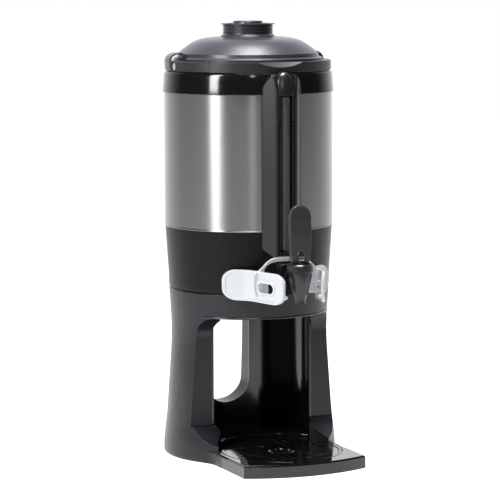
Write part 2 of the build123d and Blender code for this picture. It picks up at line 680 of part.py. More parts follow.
def faucet_spring():
    """Coil spring that closes the valve."""
    height = 14.4
    coil_radius = 5.6
    wire = 0.55
    path = Helix(pitch=2.4, height=height, radius=coil_radius)
    start = Plane(origin=path @ 0, z_dir=path % 0)
    return Pos(0, FAUCET_Y, 252.8) * sweep(start * Circle(wire), path, is_frenet=True)


def lever_pin():
    """Cross pin through the stem's eye."""
    return bar_x(2.0, -12, 12, FAUCET_Y, LEVER_PIVOT_Z)


def faucet_lever():
    """Paddle lever with a forked heel."""
    bottom = BONNET_HIGH + 0.4
    top_radius = LEVER_HALF_WIDTH
    outline = arc_points(0, LEVER_TOP - top_radius, top_radius, 0, 180, 24)
    outline += [(-top_radius, 300), (-13.6, 284), (-12.6, 277), (-11.0, bottom), (11.0, bottom),
                (12.6, 277), (13.6, 284), (top_radius, 300)]
    paddle = front_prism(outline, FAUCET_Y - 4.5, FAUCET_Y + 4)
    # the face is slightly crowned and the back hollowed towards the top
    side = [(FAUCET_Y - 3.6, bottom), (FAUCET_Y - 4.4, 284), (FAUCET_Y - 4.5, 310), (FAUCET_Y - 3.6, 332),
            (FAUCET_Y - 1.6, 346), (FAUCET_Y + 0.6, LEVER_TOP), (FAUCET_Y + 2.6, LEVER_TOP),
            (FAUCET_Y + 3.6, 340), (FAUCET_Y + 3.6, 300), (FAUCET_Y + 4, 286), (FAUCET_Y + 3.4, bottom)]
    paddle &= side_prism(side, -30, 30)
    paddle -= block(-4.5, 4.5, FAUCET_Y - 10, FAUCET_Y + 10, 270, 286)
    paddle -= bar_y(4.5, FAUCET_Y - 10, FAUCET_Y + 10, 0, 286)
    return paddle - bar_x(2.0 + RUNNING, -30, 30, FAUCET_Y, LEVER_PIVOT_Z)


# ---------------------------------------------------------------- label clip
# the middle line of the right wing in plan, from its outer end round to its front end
WING_LINE = [(85.5, -79.5), (73, -91), (60.5, -100.5), (50.5, -109.5), (43.6, -125), (38.4, -150),
             (33.0, -168), (26.5, -180)]


def wing_strip(thick, outwards=0.0):
    """A plan strip of the right wing carried upwards, grown to its outer side."""
    spine = Spline(*[(x, y, 0) for x, y in WING_LINE])
    inner = []
    outer = []
    for i in range(41):
        at = spine.position_at(i / 40)
        along = spine.tangent_at(i / 40)
        side = Vector(-along.Y, along.X, 0)
        outer.append(at + side * (thick / 2 + outwards))
        inner.append(at - side * (thick / 2))
    face = Face(Wire([Spline(*outer).edge(), Line(outer[-1], inner[-1]).edge(),
                      Spline(*reversed(inner)).edge(), Line(inner[0], outer[0]).edge()]))
    return Pos(0, 0, CLIP_LOW - 2) * extrude(face, CLIP_HIGH - CLIP_LOW + 4, dir=(0, 0, 1))


def rounded_box(y0, y1, z0, z1, soft):
    """Corners of an upright rounded rectangle."""
    corners = arc_points(y1 - soft, z1 - soft, soft, 0, 90, 8)
    corners += arc_points(y0 + soft, z1 - soft, soft, 90, 180, 8)
    corners += arc_points(y0 + soft, z0 + soft, soft, 180, 270, 8)
    return corners + arc_points(y1 - soft, z0 + soft, soft, 270, 360, 8)


def wing_outline(inset):
    """The wing's rounded elevation: seen from the side in front, from the front at the outer end."""
    low = CLIP_LOW + inset
    high = CLIP_HIGH - inset
    soft = 15.0 - inset
    front = side_prism(rounded_box(-180.4 + inset, 40, low, high, soft), 0, 130)
    outer = front_prism(rounded_box(-40, 76.3 - inset, low, high, soft), -220, 0)
    return front & outer


def label_clip():
    """White clip: two S-shaped wings for labels, joined by an arched yoke over the block."""
    plate = wing_strip(CLIP_THICK) & wing_outline(0)
    rim = wing_strip(CLIP_THICK, 0.9) & (wing_outline(0) - wing_outline(2.6))
    slot_y = -149.0
    slot_z = 241.0
    outside = side_prism(rounded_box(slot_y - 19, slot_y + 19, slot_z - 9.4, slot_z + 9.4, 9.3), 0, 130)
    inside = side_prism(rounded_box(slot_y - 16, slot_y + 16, slot_z - 6.2, slot_z + 6.2, 6.1), 0, 130)
    boss = (wing_strip(CLIP_THICK, 1.6) & outside)
    wing = joined(plate, rim, boss) - inside
    # half of the yoke, in an upright plane between the column and the faucet
    arch = [(0, YOKE_TOP), (14, YOKE_TOP), (22, 277.6), (29, 274.2), (37, 266.5), (44, 261.0), (49, 257.5),
            (50.2, 250), (48.4, 236), (46.6, 228.5), (42, 228.5), (33, 229), (30, 229.6), (28.6, 236),
            (29.2, 245), (31.4, 253), (34.4, 259), (34.0, 264), (30.6, 268.2), (25, 271.2),
            (18, YOKE_INNER_TOP), (0, YOKE_INNER_TOP)]
    yoke = front_prism(arch, YOKE_FRONT, YOKE_BACK)
    nub = bar_x(3.0, 38, 44.5, -131, 241)
    tip = bar_x(2.2, 22.5, 28, -177.2, 231) & block(20, 40, -190, -160, 220, 240)
    half = joined(wing, yoke, nub, tip)
    return joined(half, mirror(half, Plane.YZ))


# ---------------------------------------------------------------- handle
RING_OUTLINE = [(RING_INNER, LID_LOW), (RING_OUTER - 0.8, LID_LOW), (RING_OUTER, LID_LOW + 0.8),
                (RING_OUTER, RING_HIGH - 1.2), (RING_OUTER - 1.2, RING_HIGH), (RING_INNER, RING_HIGH)]


def handle_arms():
    """The two arms of the bail handle, from the pivots to the grip."""
    arm = ring_sector(RING_OUTLINE, GRIP_ANGLE - 4, 86)
    arm -= block(80, 100.8, -32, 10, 510, 540)
    arm -= block(80, 130, HANDLE_Y, 20, 510, 540)
    boss = bar_x(6.5, 100.8, 110.6, HANDLE_Y, HANDLE_Z)
    arm = joined(arm, boss) - bar_x(HANDLE_PIN + RUNNING, 90, 120, HANDLE_Y, HANDLE_Z)
    arm -= bar_x(5.0, 109.4, 120, HANDLE_Y, HANDLE_Z)
    tongue = ring_sector([(104, 521), (108.6, 521), (108.6, 529), (104, 529)], 0, GRIP_ANGLE)
    arm = arm - (ring_sector([(90, 500), (130, 500), (130, 550), (90, 550)], 0, GRIP_ANGLE) - tongue)
    return group([arm, mirror(arm, Plane.YZ)])


def handle_grip():
    """The grip between the arms, with a thumb scallop in its front top edge."""
    outline = [(100.7, LID_LOW), (111.4, LID_LOW), (112.1, LID_LOW + 0.8), (112.1, RING_HIGH - 0.8),
               (111.2, RING_HIGH + 0.2), (100.7, RING_HIGH + 0.2)]
    grip = ring_sector(outline, -GRIP_ANGLE + 0.3, GRIP_ANGLE - 0.3)
    for side in (-1, 1):
        # sockets for the arms' tongues
        end = side * (GRIP_ANGLE - 4.3)
        start, stop = sorted((end, side * (GRIP_ANGLE + 1)))
        grip -= ring_sector([(103.9, 520.9), (108.7, 520.9), (108.7, 529.1), (103.9, 529.1)], start, stop)
    # a wide shallow cylinder, sloping down outwards, takes the scallop out of the outer top edge
    half_chord = 47.0
    depth = 6.8
    radius = (half_chord ** 2 + depth ** 2) / (2 * depth)
    slope = 32.0
    scoop = Pos(0, -112.1, RING_HIGH + 0.2 - depth) * Rot(90 + slope, 0, 0) * Pos(0, radius, 0)
    grip -= scoop * Cylinder(radius, 60)
    return grip


def handle_pins():
    """Pivot pins of the bail handle, fixed in the collar's lugs."""
    pin = joined(bar_x(HANDLE_PIN, 94.6, 110.6, HANDLE_Y, HANDLE_Z),
                 bar_x(4.6, 109.6, 111.0, HANDLE_Y, HANDLE_Z))
    return group([pin, mirror(pin, Plane.YZ)])


# ---------------------------------------------------------------- lid
LID_SCREW_RADIUS = 60.0


def lid_dome():
    """Lid shell: dome, stepped flange, rear rim, side loops, hinge knuckle and screw bosses."""
    outer = [(36.0, 563.4), (58, 561.2), (70.0, 558.0), (83, 550.3), (94.5, 541.4)]
    wall = 2.5
    outside = Spline(*[(r, 0, z) for r, z in outer])
    inside = Spline(*[(r, 0, z) for r, z in [(90.5, 540.6), (81.4, 548.2), (68.9, 555.6),
                                             (57.5, 558.6), (36.0, 560.9)]])
    runs = [(94.5, 541.4), (95.6, 536.6), (99.2, 535.6), (100, 534.8), (100, LID_LOW), (90, LID_LOW),
            (90, 530), (90.5, 540.6)]
    edges = [Line((a[0], 0, a[1]), (b[0], 0, b[1])).edge() for a, b in zip(runs, runs[1:])]
    top = [Line((36.0, 0, 560.9), (NECK_RADIUS, 0, 561.0)).edge(),
           Line((NECK_RADIUS, 0, 561.0), (NECK_RADIUS, 0, 563.5)).edge(),
           Line((NECK_RADIUS, 0, 563.5), (36.0, 0, 563.4)).edge()]
    dome = revolve(Face(Wire([outside.edge(), *edges, inside.edge(), *top])), Axis.Z)
    bosses = around(post(4, 493, 559, x=LID_SCREW_RADIUS), 4, 45)
    # rear rim, level with the handle ring, from one pivot round to the other
    rear = turned((98, LID_LOW), (RING_OUTER - 0.8, LID_LOW), (RING_OUTER, LID_LOW + 0.8),
                  (RING_OUTER, RING_HIGH - 1.2), (RING_OUTER - 1.2, RING_HIGH), (98, RING_HIGH))
    rear -= block(-130, 130, -130, -2, 500, 560)
    loop = ring_sector([(110.6, 520), (112.2, 520), (113.0, 532), (112.2, 535.6), (109.2, 539.2),
                        (104.5, 541.9), (98, 542.8), (90.5, 542.4), (90.5, 540.4), (98, 540.8),
                        (103.7, 540.0), (107.9, 537.6), (110.3, 534.6), (111.0, 531)], 91, 106)
    knuckle = bar_x(4.5, -13.6, 13.6, HINGE_Y, HINGE_Z)
    knuckle += block(-13.6, 13.6, 105, HINGE_Y, LID_LOW + 0.5, HINGE_Z + 4.5)
    lid = joined(dome, *bosses, rear, loop, mirror(loop, Plane.YZ), knuckle)
    for side in (-1, 1):
        # clearance round the collar's lugs
        lid -= block(*sorted((side * 93.8, side * 120)), -20, -2, 510, 540)
    for hole in around(post(1.5, 492, 508, x=LID_SCREW_RADIUS), 4, 45):
        lid -= hole
    return lid - bar_x(HINGE_PIN + RUNNING, -20, 20, HINGE_Y, HINGE_Z)


def hinge_pin():
    """Pin of the lid's hinge."""
    return bar_x(HINGE_PIN, -26, 26, HINGE_Y, HINGE_Z)


def lid_liner():
    """White inner liner: a plug that enters the mouth, with a tube for the ball valve."""
    liner = turned((4, 490), (70, 490), (71, 491), (74, 516), (74, 518), (88, 518), (88, 520),
                   (72, 520), (72, 517), (69.2, 493), (10, 493), (10, 559), (8, 559), (8, 493), (4, 493))
    for hole in around(post(1.8, 480, 500, x=LID_SCREW_RADIUS), 4, 45):
        liner -= hole
    return liner


def lid_insulation():
    """Foam between the liner and the dome."""
    foam = turned((10.2, 493.2), (68.8, 493.2), (71.6, 517), (71.6, 540), (62, 552), (42, 556),
                  (10.2, 556))
    foam -= post(38.4, 552, 560)
    for hole in around(post(4.2, 480, 560, x=LID_SCREW_RADIUS), 4, 45):
        foam -= hole
    return foam


def lid_gasket():
    """Silicone gasket under the liner's flange that closes on the flask's mouth."""
    return turned((76, MOUTH_HIGH), (81.6, MOUTH_HIGH), (81.6, 518), (76, 518))


def lid_screws():
    """Screws that join the liner to the lid."""
    one = Rot(180, 0, 0) * screw(3.4, 1.8, 1.5, 14)
    return group(around(Pos(LID_SCREW_RADIUS, 0, 490) * one, 4, 45))


def brew_neck():
    """Neck on top of the dome: flared foot, three ribs and a thin rim flange."""
    ribs = []
    for z in (569.5, 573.2, 576.9):
        ribs += [(NECK_RADIUS, z - 1.1), (NECK_RADIUS + 0.9, z - 0.5), (NECK_RADIUS + 0.9, z + 0.5),
                 (NECK_RADIUS, z + 1.1)]
    return turned((30, 556), (NECK_RADIUS, 556), (NECK_RADIUS, 563.5), (36.4, 563.6), (35.6, 565.0),
                  (33.6, 566.6), *ribs, (NECK_RADIUS, 579.0), (36.2, 579.5), (36.2, NECK_HIGH),
                  (31, NECK_HIGH), (30, 579.5))


def neck_lock_ring():
    """Ring under the dome that locks the neck."""
    return turned((NECK_RADIUS, 556.4), (38, 556.4), (38, 560.6), (NECK_RADIUS, 560.6))


def brew_funnel():
    """Funnel insert in the neck: raised dish on top and a spout over the ball valve."""
    return turned((30, 573.5), (30, 577.5), (22, 579.0), (20.4, 580.0), (19.8, 583.4), (19.2, TOP),
                  (18.4, 583.8), (17.0, 580.4), (12, 577), (5, 575), (5, 560), (7.4, 560),
                  (7.4, 573.5))


def neck_seal_ring():
    """O-ring in the neck under the funnel."""
    ring = Pos(0, 0, 571.6) * Torus(28.1, 1.9)
    return ring


def valve_ball():
    """Float ball that closes the spout when the flask is full."""
    return Pos(0, 0, 498.3) * Sphere(6.5)


def mixing_tube():
    """Tube below the lid that leads fresh drink down into the flask, slotted near its end."""
    tube = turned((8, 386), (9.6, 386), (9.6, 488), (13, 488), (13, 490), (8, 490))
    for cut in around(block(5, 12, -2, 2, 392, 410), 4):
        tube -= cut
    return tube


PARTS = [stand_shell, stand_liner, cavity_floor, base_plate, foot_pads, base_bosses, base_screws,
         rest_ring, drip_tray, drip_grille, lower_housing, bottom_cover, cover_screws, flask_cradle,
         flask_cushion, flask_outer, flask_inner, jacket_rings, steel_jacket, upper_collar, neck_seal,
         outlet_pipe, outlet_gasket, column_housing, column_screws, sight_tube, tube_seals,
         gauge_float, gauge_cap, faucet_manifold, faucet_shank, shank_washer, shank_nut,
         coupling_nut, faucet_body, faucet_bonnet, faucet_stem, faucet_seat, faucet_spring,
         lever_pin, faucet_lever, label_clip, handle_arms, handle_grip, handle_pins, lid_dome,
         hinge_pin, lid_liner, lid_insulation, lid_gasket, lid_screws, brew_neck, neck_lock_ring,
         brew_funnel, neck_seal_ring, valve_ball, mixing_tube]


def main():
    os.makedirs("parts", exist_ok=True)
    for make in PARTS:
        export_step(make(), f"parts/{make.__name__}.step")
        print(make.__name__)


main()
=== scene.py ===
# %% [markdown]
# # A thermal drink dispenser on its stand
# The solid model of the dispenser is loaded first and stays exactly where it is. Everything after
# that gives it light, finishes and the fine shapes that a solid model leaves out. All lengths are in
# metres and the faucet faces -Y.

# %% Load the frame
import bpy
from math import cos, pi, radians, sin
from mathutils import Matrix, Vector


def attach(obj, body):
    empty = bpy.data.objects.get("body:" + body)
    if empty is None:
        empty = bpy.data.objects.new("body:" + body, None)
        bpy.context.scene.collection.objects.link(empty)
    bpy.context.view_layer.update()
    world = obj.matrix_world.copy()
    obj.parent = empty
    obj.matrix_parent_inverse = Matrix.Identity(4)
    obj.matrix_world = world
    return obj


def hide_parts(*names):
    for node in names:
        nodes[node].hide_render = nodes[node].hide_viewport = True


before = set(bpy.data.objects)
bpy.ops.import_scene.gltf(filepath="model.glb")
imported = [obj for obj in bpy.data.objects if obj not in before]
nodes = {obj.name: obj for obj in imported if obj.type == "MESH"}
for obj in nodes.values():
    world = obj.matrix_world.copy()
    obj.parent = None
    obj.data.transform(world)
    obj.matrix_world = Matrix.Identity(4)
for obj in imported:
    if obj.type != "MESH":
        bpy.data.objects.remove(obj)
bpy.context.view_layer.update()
MM = 0.001

# %% [markdown]
# ## The camera
# A long lens a good three metres away keeps the body's sides nearly parallel, as in a catalogue
# picture. The camera stands to the left of the faucet and looks a little downwards.

# %% Camera
CAMERA_PLACE = (-1.2964, -3.0222, 0.6560)
CAMERA_TURN = radians(-23.218)
CAMERA_TILT = radians(83.37)
CAMERA_ROLL = -0.004
SENSOR_WIDTH, LENS, LENS_SHIFT = 36, 175.39, 0.0025
bpy.ops.object.camera_add()
camera = bpy.context.object
camera.name = "camera"
turn = Matrix.Rotation(CAMERA_TURN, 4, "Z") @ Matrix.Rotation(CAMERA_TILT, 4, "X")
roll = Matrix.Rotation(CAMERA_ROLL, 4, "Z")
camera.matrix_world = Matrix.Translation(CAMERA_PLACE) @ turn @ roll
camera.data.sensor_width = SENSOR_WIDTH
camera.data.lens = LENS
camera.data.shift_x = LENS_SHIFT
bpy.context.scene.camera = camera
bpy.context.scene.view_settings.view_transform = "Standard"
print("camera lens:", camera.data.lens)

# %% [markdown]
# ## Light
# A white room surrounds the object. It is brighter behind than in front, so that the black plastic
# stays dark and its two sides catch a white rim. To the camera itself the room is plain white, so
# the object stands alone. Shader nodes are laid out by a small helper, because every finish needs it.

# %% Helper for shader nodes
def put(tree, kind, settings=None, **values):
    """Adds a node, sets its own settings and the values of its sockets, and links sockets given one."""
    made = tree.nodes.new(kind)
    for name, value in (settings or {}).items():
        setattr(made, name, value)
    for name, value in values.items():
        socket = made.inputs[int(name[1:])] if name[0] == "_" else made.inputs[name.replace("_", " ")]
        if isinstance(value, bpy.types.NodeSocket):
            tree.links.new(value, socket)
        else:
            socket.default_value = value
    return made


# %% World
AWAY_FROM_CAMERA = (0.35, 0.937, 0.0)
DARK_UP_TO, BRIGHT_FROM = 0.22, 1.0
FRONT_STRENGTH, BACK_STRENGTH = 0.05, 1.5
world = bpy.data.worlds.new("white room")
bpy.context.scene.world = world
world.use_nodes = True
tree = world.node_tree
tree.nodes.clear()
direction = put(tree, "ShaderNodeTexCoord")
away = put(tree, "ShaderNodeVectorMath", {"operation": "DOT_PRODUCT"},
           _0=direction.outputs["Generated"], _1=AWAY_FROM_CAMERA)
depth = put(tree, "ShaderNodeMapRange", {"interpolation_type": "SMOOTHSTEP"},
            Value=away.outputs["Value"], From_Min=DARK_UP_TO, From_Max=BRIGHT_FROM,
            To_Min=FRONT_STRENGTH, To_Max=BACK_STRENGTH)
room = put(tree, "ShaderNodeBackground", Color=(0.97, 0.98, 1.0, 1), Strength=depth.outputs["Result"])
seen = put(tree, "ShaderNodeBackground", Color=(1, 1, 1, 1))
path = put(tree, "ShaderNodeLightPath")
mixed = put(tree, "ShaderNodeMixShader", _0=path.outputs["Is Camera Ray"], _1=room.outputs[0],
            _2=seen.outputs[0])
put(tree, "ShaderNodeOutputWorld", Surface=mixed.outputs[0])

# %% [markdown]
# ### Lamps
# A tall lamp far round on the left draws the bright strip down the steel. A weaker and narrower one
# near the front puts fine glints on the plastic, and a wide lamp overhead lights the dome.


# %% Lamps
def lamp(name, turn_from_front, distance, height, size, power, aim_height=0.3):
    """A soft rectangular lamp on a circle round the object, aimed at the body's axis."""
    angle = radians(turn_from_front)
    place = Vector((-distance * sin(angle), -distance * cos(angle), height))
    bpy.ops.object.light_add(type="AREA", location=place)
    made = bpy.context.object
    made.name = name
    made.data.shape = "RECTANGLE"
    made.data.size, made.data.size_y = size
    made.data.energy = power
    made.rotation_euler = (Vector((0, 0, aim_height)) - place).to_track_quat("-Z", "Y").to_euler()
    return made


lamp("strip lamp", 68.5, 1.6, 1.10, (0.36, 1.1), 30)
lamp("narrow lamp", 17, 1.9, 1.45, (0.17, 0.7), 4.5)
lamp("overhead lamp", 4, 0.14, 1.75, (0.60, 0.50), 40, 0.55)

# %% [markdown]
# ### Floor
# The floor is white to the camera but grows dark towards the front for everything that it is
# reflected in. A glowing paper does both, because its glow can tell a camera ray from a reflection.

# %% Floor
FLOOR_SIZE = 12
DIM_EDGE, BRIGHT_EDGE = -1.35, -0.6
DIM_GLOW, BRIGHT_GLOW, CAMERA_GLOW = 0.10, 0.92, 0.93
bpy.ops.mesh.primitive_plane_add(size=FLOOR_SIZE, location=(0, 0, 0))
floor = bpy.context.object
floor.name = "floor"
floor_finish = bpy.data.materials.new("white floor")
floor_finish.use_nodes = True
tree = floor_finish.node_tree
tree.nodes.clear()
spot = put(tree, "ShaderNodeTexCoord")
spot_parts = put(tree, "ShaderNodeSeparateXYZ", _0=spot.outputs["Object"])
near = put(tree, "ShaderNodeMapRange", Value=spot_parts.outputs["Y"], From_Min=DIM_EDGE,
           From_Max=BRIGHT_EDGE, To_Min=DIM_GLOW, To_Max=BRIGHT_GLOW)
straight = put(tree, "ShaderNodeLightPath")
shown = put(tree, "ShaderNodeMath", {"operation": "MULTIPLY"}, _0=straight.outputs["Is Camera Ray"],
            _1=CAMERA_GLOW)
bright = put(tree, "ShaderNodeMath", {"operation": "MAXIMUM"}, _0=near.outputs["Result"],
             _1=shown.outputs[0])
glow = put(tree, "ShaderNodeEmission", Strength=bright.outputs[0])
paper = put(tree, "ShaderNodeBsdfDiffuse", Color=(0.5, 0.5, 0.5, 1))
both = put(tree, "ShaderNodeAddShader", _0=glow.outputs[0], _1=paper.outputs[0])
put(tree, "ShaderNodeOutputMaterial", Surface=both.outputs[0])
floor.data.materials.append(floor_finish)

# %% [markdown]
# ## Shared effects
# Moulded plastic, brushed metal and corners with wear and a painted highlight all need small changes
# across the surface. Each effect is a node group that is built once, with named values, and then placed
# in several materials.


# %% Helper for node groups
def new_group(name, values, results):
    """An empty node group with float inputs and named outputs, and its two end nodes."""
    group = bpy.data.node_groups.new(name, "ShaderNodeTree")
    for label, default in values:
        socket = group.interface.new_socket(label, in_out="INPUT", socket_type="NodeSocketFloat")
        socket.default_value = default
    for label, kind in results:
        group.interface.new_socket(label, in_out="OUTPUT", socket_type=kind)
    start = group.nodes.new("NodeGroupInput")
    end = group.nodes.new("NodeGroupOutput")
    return group, start, end


# %% [markdown]
# ### Moulded grain
# A spark-eroded mould leaves a fine leathery grain on plastic. Two noises, one fine and one broad,
# give the grain its height and let the gloss wander a little.

# %% Moulded grain
FLOAT = "NodeSocketFloat"
moulded_grain, start, end = new_group(
    "moulded grain", [("Scale", 1600), ("Roughness", 0.4), ("Variation", 0.08)],
    [("Height", FLOAT), ("Roughness", FLOAT), ("Shade", FLOAT)])
place = put(moulded_grain, "ShaderNodeTexCoord")
fine = put(moulded_grain, "ShaderNodeTexNoise", Vector=place.outputs["Object"],
           Scale=start.outputs["Scale"], Detail=2.0)
broad = put(moulded_grain, "ShaderNodeTexNoise", Vector=place.outputs["Object"], Scale=14.0, Detail=3.0)
offset = put(moulded_grain, "ShaderNodeMath", {"operation": "SUBTRACT"}, _0=broad.outputs["Fac"], _1=0.5)
swing = put(moulded_grain, "ShaderNodeMath", {"operation": "MULTIPLY"}, _0=offset.outputs[0],
            _1=start.outputs["Variation"])
gloss = put(moulded_grain, "ShaderNodeMath", {"operation": "ADD"}, _0=start.outputs["Roughness"],
            _1=swing.outputs[0])
shade = put(moulded_grain, "ShaderNodeMapRange", Value=fine.outputs["Fac"], To_Min=0.92, To_Max=1.08)
moulded_grain.links.new(fine.outputs["Fac"], end.inputs["Height"])
moulded_grain.links.new(gloss.outputs[0], end.inputs["Roughness"])
moulded_grain.links.new(shade.outputs[0], end.inputs["Shade"])

# %% [markdown]
# ### Brushing round the body
# The jacket is brushed while it turns, so its hairlines run round it. The pattern is a noise that is
# stretched along the angle and tight along the height.

# %% Brushed round
brushed_round, start, end = new_group(
    "brushed round", [("Lines", 2600), ("Roughness", 0.26), ("Variation", 0.12)],
    [("Height", FLOAT), ("Roughness", FLOAT), ("Shade", FLOAT)])
place = put(brushed_round, "ShaderNodeTexCoord")
parts = put(brushed_round, "ShaderNodeSeparateXYZ", _0=place.outputs["Object"])
angle = put(brushed_round, "ShaderNodeMath", {"operation": "ARCTAN2"}, _0=parts.outputs["Y"],
            _1=parts.outputs["X"])
along = put(brushed_round, "ShaderNodeMath", {"operation": "MULTIPLY"}, _0=angle.outputs[0], _1=5.0)
across = put(brushed_round, "ShaderNodeMath", {"operation": "MULTIPLY"}, _0=parts.outputs["Z"],
             _1=start.outputs["Lines"])
laid = put(brushed_round, "ShaderNodeCombineXYZ", X=along.outputs[0], Z=across.outputs[0])
hair = put(brushed_round, "ShaderNodeTexNoise", Vector=laid.outputs[0], Scale=1.0, Detail=4.0,
           Roughness=0.65)
patch = put(brushed_round, "ShaderNodeTexNoise", Vector=place.outputs["Object"], Scale=9.0, Detail=2.0)
both = put(brushed_round, "ShaderNodeMath", {"operation": "ADD"}, _0=hair.outputs["Fac"],
           _1=patch.outputs["Fac"])
centred = put(brushed_round, "ShaderNodeMath", {"operation": "SUBTRACT"}, _0=both.outputs[0], _1=1.0)
swing = put(brushed_round, "ShaderNodeMath", {"operation": "MULTIPLY_ADD"}, _0=centred.outputs[0],
            _1=start.outputs["Variation"], _2=start.outputs["Roughness"])
shade = put(brushed_round, "ShaderNodeMapRange", Value=hair.outputs["Fac"], From_Min=0.25, From_Max=0.75,
            To_Min=0.86, To_Max=1.08)
brushed_round.links.new(hair.outputs["Fac"], end.inputs["Height"])
brushed_round.links.new(swing.outputs[0], end.inputs["Roughness"])
brushed_round.links.new(shade.outputs[0], end.inputs["Shade"])

# %% [markdown]
# ### Edge wear and painted highlight
# Moulded corners are painted lighter. This is partly the polish they take with use and partly a painted
# highlight where a rounded corner catches a little more light. The group compares the true normal with
# one that is rounded over a small radius, and the difference marks the edges.

# %% Edge wear and painted highlight
edge_wear_and_highlight, start, end = new_group("edge wear and painted highlight", [("Radius", 0.0008), ("Strength", 1.0)],
                                     [("Mask", FLOAT)])
rounded = put(edge_wear_and_highlight, "ShaderNodeBevel", {"samples": 4}, Radius=start.outputs["Radius"])
true = put(edge_wear_and_highlight, "ShaderNodeNewGeometry")
match = put(edge_wear_and_highlight, "ShaderNodeVectorMath", {"operation": "DOT_PRODUCT"},
            _0=rounded.outputs[0], _1=true.outputs["Normal"])
edge = put(edge_wear_and_highlight, "ShaderNodeMapRange", Value=match.outputs["Value"], From_Min=0.995,
           From_Max=0.80, To_Min=0.0, To_Max=1.0)
mask = put(edge_wear_and_highlight, "ShaderNodeMath", {"operation": "MULTIPLY"}, _0=edge.outputs[0],
           _1=start.outputs["Strength"])
edge_wear_and_highlight.links.new(mask.outputs[0], end.inputs["Mask"])
print("node groups:", [g.name for g in bpy.data.node_groups])

# %% [markdown]
# ## Finishes
# Each finish is one material. The Principled shader stays in the material, and the groups only bring
# it changes over the surface.
#
# ### Plastics and rubber
# One function makes them all, because the real mouldings differ only in colour, gloss and grain.


# %% Plastics and rubber
def new_finish(name):
    """An empty material with a Principled shader; returns the material, its tree and the shader."""
    material = bpy.data.materials.new(name)
    material.use_nodes = True
    tree = material.node_tree
    return material, tree, tree.nodes["Principled BSDF"]


def placed(tree, group, **values):
    """Places a shared group in a material with its own values."""
    made = tree.nodes.new("ShaderNodeGroup")
    made.node_tree = group
    for name, value in values.items():
        made.inputs[name].default_value = value
    return made


SOFT_RADIUS = 0.0006


def plastic(name, colour, roughness, grain=1600, depth=0.00004, edge=0.5, variation=0.08, shine=0.5):
    """Moulded plastic: base colour, gloss, grain size per metre and depth, and edges painted lighter for
    wear and highlight.
    """
    material, tree, shader = new_finish(name)
    grained = placed(tree, moulded_grain, Scale=grain, Roughness=roughness, Variation=variation)
    edges = placed(tree, edge_wear_and_highlight, Strength=edge)
    # Edges are painted lighter, partly for wear and partly as a painted highlight.
    edge_wear_and_highlight_colour = [min(1.0, c * 1.7 + 0.012) for c in colour]
    tone = put(tree, "ShaderNodeMix", {"data_type": "RGBA"}, Factor=edges.outputs["Mask"])
    tone.inputs[6].default_value = (*colour, 1)
    tone.inputs[7].default_value = (*edge_wear_and_highlight_colour, 1)
    toned = put(tree, "ShaderNodeVectorMath", {"operation": "SCALE"}, _0=tone.outputs[2],
                Scale=grained.outputs["Shade"])
    tree.links.new(toned.outputs[0], shader.inputs["Base Color"])
    tree.links.new(grained.outputs["Roughness"], shader.inputs["Roughness"])
    shader.inputs["Specular IOR Level"].default_value = shine
    soft = put(tree, "ShaderNodeBevel", {"samples": 4}, Radius=SOFT_RADIUS)
    bump = put(tree, "ShaderNodeBump", Strength=1.0, Distance=depth, Height=grained.outputs["Height"],
               Normal=soft.outputs[0])
    tree.links.new(bump.outputs[0], shader.inputs["Normal"])
    return material


satin_black = plastic("satin black plastic", (0.0035, 0.0035, 0.0045), 0.32, depth=0.00003, shine=0.16)
stand_black = plastic("stand plastic", (0.009, 0.009, 0.0125), 0.34, depth=0.00003, shine=0.34)
# The bead uses the stand's plastic painted lighter, a painted highlight along the lip.
highlight_lip_black = plastic("lip plastic painted lighter", (0.016, 0.016, 0.020), 0.22, depth=0.00001)
column_black = plastic("column plastic", (0.009, 0.009, 0.011), 0.27, depth=0.00002)
dome_black = plastic("dome plastic", (0.026, 0.027, 0.035), 0.34, grain=2100, depth=0.00003)
handle_black = plastic("handle plastic", (0.009, 0.009, 0.011), 0.42, grain=2100, depth=0.00002)
gloss_black = plastic("polished black plastic", (0.004, 0.004, 0.005), 0.12, grain=90, depth=0.00001,
                      edge=0.3, variation=0.03)
paddle_black = plastic("paddle plastic", (0.024, 0.024, 0.027), 0.36, depth=0.00002)
tray_black = plastic("tray plastic", (0.004, 0.004, 0.005), 0.05, grain=90, depth=0.00001, edge=0.3,
                     variation=0.03)
faucet_black = plastic("faucet plastic", (0.007, 0.007, 0.008), 0.27, grain=900, depth=0.00002)
white_plastic = plastic("white plastic", (0.50, 0.515, 0.54), 0.26, grain=700, depth=0.00001, edge=0.2)
natural_plastic = plastic("natural plastic", (0.62, 0.62, 0.58), 0.4, grain=700, depth=0.00002, edge=0.2)
rubber = plastic("black rubber", (0.018, 0.018, 0.018), 0.75, grain=2600, depth=0.00006, edge=0.2)
silicone = plastic("silicone", (0.60, 0.60, 0.57), 0.5, grain=1200, depth=0.00002, edge=0.1)
float_red = plastic("float red", (0.42, 0.020, 0.014), 0.35, grain=1200, depth=0.00002, edge=0.1)
foam = plastic("insulating foam", (0.62, 0.56, 0.40), 0.9, grain=420, depth=0.0004, edge=0.0)


# %% [markdown]
# ### Metals
# Hairlines that run round the body spread its reflections up and down, which turns each lamp into a
# long bright strip. The jacket therefore gets a stretched highlight whose direction follows the axis.
# The small steel parts have only the hairlines.


# %% Metals
ACROSS_THE_LINES = 0.25


